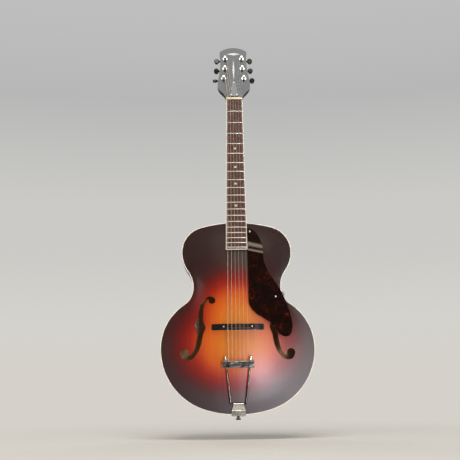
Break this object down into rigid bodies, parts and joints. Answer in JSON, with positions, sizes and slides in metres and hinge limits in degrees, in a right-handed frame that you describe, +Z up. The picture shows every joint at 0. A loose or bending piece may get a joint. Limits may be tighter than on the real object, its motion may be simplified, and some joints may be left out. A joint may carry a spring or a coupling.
{
  "type": "archtop guitar",
  "caption": "Archtop guitar with an arched sunburst top, f-holes, floating bridge, trapeze tailpiece, raised pickguard and open-gear tuners.",
  "frame": {"origin": "on the centre line, at the tail end of the rim and half way through the rim's depth", "axes": "+Z up the guitar from the tail to the headstock, -Y out of the arched top, +X towards the treble side"},
  "size_m": [0.407, 0.135, 1.049],
  "materials": {
    "sunburst_spruce": "satin",
    "dark_maple": "satin",
    "bare_spruce": "matte",
    "cream_binding": "gloss",
    "black_veneer": "gloss",
    "pearl": "gloss",
    "rosewood": "satin",
    "nickel": "gloss",
    "brass": "satin",
    "steel": "satin",
    "wound_bronze": "satin",
    "bone": "satin",
    "black_plastic": "gloss",
    "ebony": "satin",
    "tortoise": "gloss",
    "red_brown_plastic": "gloss"
  },
  "bodies": {
    "body": {"top_plate": "sunburst_spruce", "back_plate": "dark_maple", "bass_rib": "dark_maple", "treble_rib": "dark_maple", "neck_block": "bare_spruce", "end_block": "bare_spruce", "top_lining": "bare_spruce", "back_lining": "bare_spruce", "tone_bars": "bare_spruce", "top_binding": "cream_binding", "back_binding": "cream_binding", "neck": "dark_maple", "headstock_veneer": "black_veneer", "headstock_inlays": "pearl", "fingerboard": "rosewood", "fingerboard_binding": "cream_binding", "frets": "nickel", "position_dots": "pearl", "nut": "bone", "truss_rod": "steel", "truss_rod_cover": "black_plastic", "small_screws": "nickel", "tuner_plates": "nickel", "tuner_bushings": "nickel", "wound_strings": "wound_bronze", "plain_strings": "steel", "bridge_base": "ebony", "bridge_posts": "nickel", "tailpiece_bracket": "nickel", "tailpiece_hinge_pin": "nickel", "tailpiece_screws": "nickel", "end_pin": "red_brown_plastic", "pickguard": "tortoise", "pickguard_supports": "nickel", "pickguard_screws": "nickel"},
    "truss_nut": {"truss_rod_nut": "brass"},
    "tuner_1_knob": {"tuner_worm_1": "steel", "tuner_button_1": "black_plastic"},
    "tuner_1_post": {"tuner_post_1": "nickel"},
    "tuner_2_knob": {"tuner_worm_2": "steel", "tuner_button_2": "black_plastic"},
    "tuner_2_post": {"tuner_post_2": "nickel"},
    "tuner_3_knob": {"tuner_worm_3": "steel", "tuner_button_3": "black_plastic"},
    "tuner_3_post": {"tuner_post_3": "nickel"},
    "tuner_4_knob": {"tuner_worm_4": "steel", "tuner_button_4": "black_plastic"},
    "tuner_4_post": {"tuner_post_4": "nickel"},
    "tuner_5_knob": {"tuner_worm_5": "steel", "tuner_button_5": "black_plastic"},
    "tuner_5_post": {"tuner_post_5": "nickel"},
    "tuner_6_knob": {"tuner_worm_6": "steel", "tuner_button_6": "black_plastic"},
    "tuner_6_post": {"tuner_post_6": "nickel"},
    "saddle": {"bridge_saddle": "ebony"},
    "bass_wheel": {"thumbwheel_bass": "brass"},
    "treble_wheel": {"thumbwheel_treble": "brass"},
    "tailpiece": {"tailpiece_leaf": "nickel", "tailpiece_wire": "nickel", "tailpiece_crossbar": "nickel"}
  },
  "joints": [
    {"name": "truss_nut_turn", "type": "hinge", "parent": "body", "child": "truss_nut", "pos_m": [0, -0.02092, 0.87272], "axis": [0, 0.061, 0.9981], "range_deg": [-180, 180]},
    {"name": "tuner_1_knob_turn", "type": "hinge", "parent": "body", "child": "tuner_1_knob", "pos_m": [-0.0287, 0.01057, 0.93021], "axis": [-1, 0, 0], "range_deg": [-1440, 360]},
    {"name": "tuner_1_post_turn", "type": "hinge", "parent": "body", "child": "tuner_1_post", "pos_m": [-0.0287, -0.01003, 0.92905], "axis": [0, 0.9537, -0.3007], "range_deg": [-24.1, 96.1]},
    {"name": "tuner_2_knob_turn", "type": "hinge", "parent": "body", "child": "tuner_2_knob", "pos_m": [-0.0247, 0.02115, 0.96378], "axis": [-1, 0, 0], "range_deg": [-1440, 360]},
    {"name": "tuner_2_post_turn", "type": "hinge", "parent": "body", "child": "tuner_2_post", "pos_m": [-0.0247, 0.00055, 0.96262], "axis": [0, 0.9537, -0.3007], "range_deg": [-24.1, 96.1]},
    {"name": "tuner_3_knob_turn", "type": "hinge", "parent": "body", "child": "tuner_3_knob", "pos_m": [-0.0236, 0.03177, 0.99744], "axis": [-1, 0, 0], "range_deg": [-1440, 360]},
    {"name": "tuner_3_post_turn", "type": "hinge", "parent": "body", "child": "tuner_3_post", "pos_m": [-0.0236, 0.01116, 0.99628], "axis": [0, 0.9537, -0.3007], "range_deg": [-24.1, 96.1]},
    {"name": "tuner_4_knob_turn", "type": "hinge", "parent": "body", "child": "tuner_4_knob", "pos_m": [0.0236, 0.03177, 0.99744], "axis": [-1, 0, 0], "range_deg": [-1440, 360]},
    {"name": "tuner_4_post_turn", "type": "hinge", "parent": "body", "child": "tuner_4_post", "pos_m": [0.0236, 0.01116, 0.99628], "axis": [0, 0.9537, -0.3007], "range_deg": [-96.1, 24.1]},
    {"name": "tuner_5_knob_turn", "type": "hinge", "parent": "body", "child": "tuner_5_knob", "pos_m": [0.0247, 0.02115, 0.96378], "axis": [-1, 0, 0], "range_deg": [-1440, 360]},
    {"name": "tuner_5_post_turn", "type": "hinge", "parent": "body", "child": "tuner_5_post", "pos_m": [0.0247, 0.00055, 0.96262], "axis": [0, 0.9537, -0.3007], "range_deg": [-96.1, 24.1]},
    {"name": "tuner_6_knob_turn", "type": "hinge", "parent": "body", "child": "tuner_6_knob", "pos_m": [0.0287, 0.01057, 0.93021], "axis": [-1, 0, 0], "range_deg": [-1440, 360]},
    {"name": "tuner_6_post_turn", "type": "hinge", "parent": "body", "child": "tuner_6_post", "pos_m": [0.0287, -0.01003, 0.92905], "axis": [0, 0.9537, -0.3007], "range_deg": [-96.1, 24.1]},
    {"name": "saddle_lift", "type": "slide", "parent": "body", "child": "saddle", "axis": [0, -1, 0], "range_m": [-0.00141, 0.00211], "deforming": ["wound_strings", "plain_strings"]},
    {"name": "bass_wheel_turn", "type": "hinge", "parent": "saddle", "child": "bass_wheel", "pos_m": [-0.037, -0.07851, 0.22603], "axis": [0, -1, 0], "range_deg": [-720, 1080]},
    {"name": "treble_wheel_turn", "type": "hinge", "parent": "saddle", "child": "treble_wheel", "pos_m": [0.037, -0.07851, 0.22603], "axis": [0, -1, 0], "range_deg": [-720, 1080]},
    {"name": "tailpiece_swing", "type": "hinge", "parent": "body", "child": "tailpiece", "pos_m": [0, -0.04645, 0.011], "axis": [1, 0, 0], "range_deg": [-0.37, 0.56], "deforming": ["wound_strings", "plain_strings"]}
  ],
  "couplings": [
    {"joint": "tuner_1_post_turn", "follows": "tuner_1_knob_turn", "ratio": -0.066667},
    {"joint": "tuner_2_post_turn", "follows": "tuner_2_knob_turn", "ratio": -0.066667},
    {"joint": "tuner_3_post_turn", "follows": "tuner_3_knob_turn", "ratio": -0.066667},
    {"joint": "tuner_4_post_turn", "follows": "tuner_4_knob_turn", "ratio": 0.066667},
    {"joint": "tuner_5_post_turn", "follows": "tuner_5_knob_turn", "ratio": 0.066667},
    {"joint": "tuner_6_post_turn", "follows": "tuner_6_knob_turn", "ratio": 0.066667},
    {"joint": "saddle_lift", "follows": "bass_wheel_turn", "m_per_rad": 0.00011141},
    {"joint": "treble_wheel_turn", "follows": "bass_wheel_turn", "ratio": 1},
    {"joint": "tailpiece_swing", "follows": "bass_wheel_turn", "ratio": 0.00050683}
  ]
}
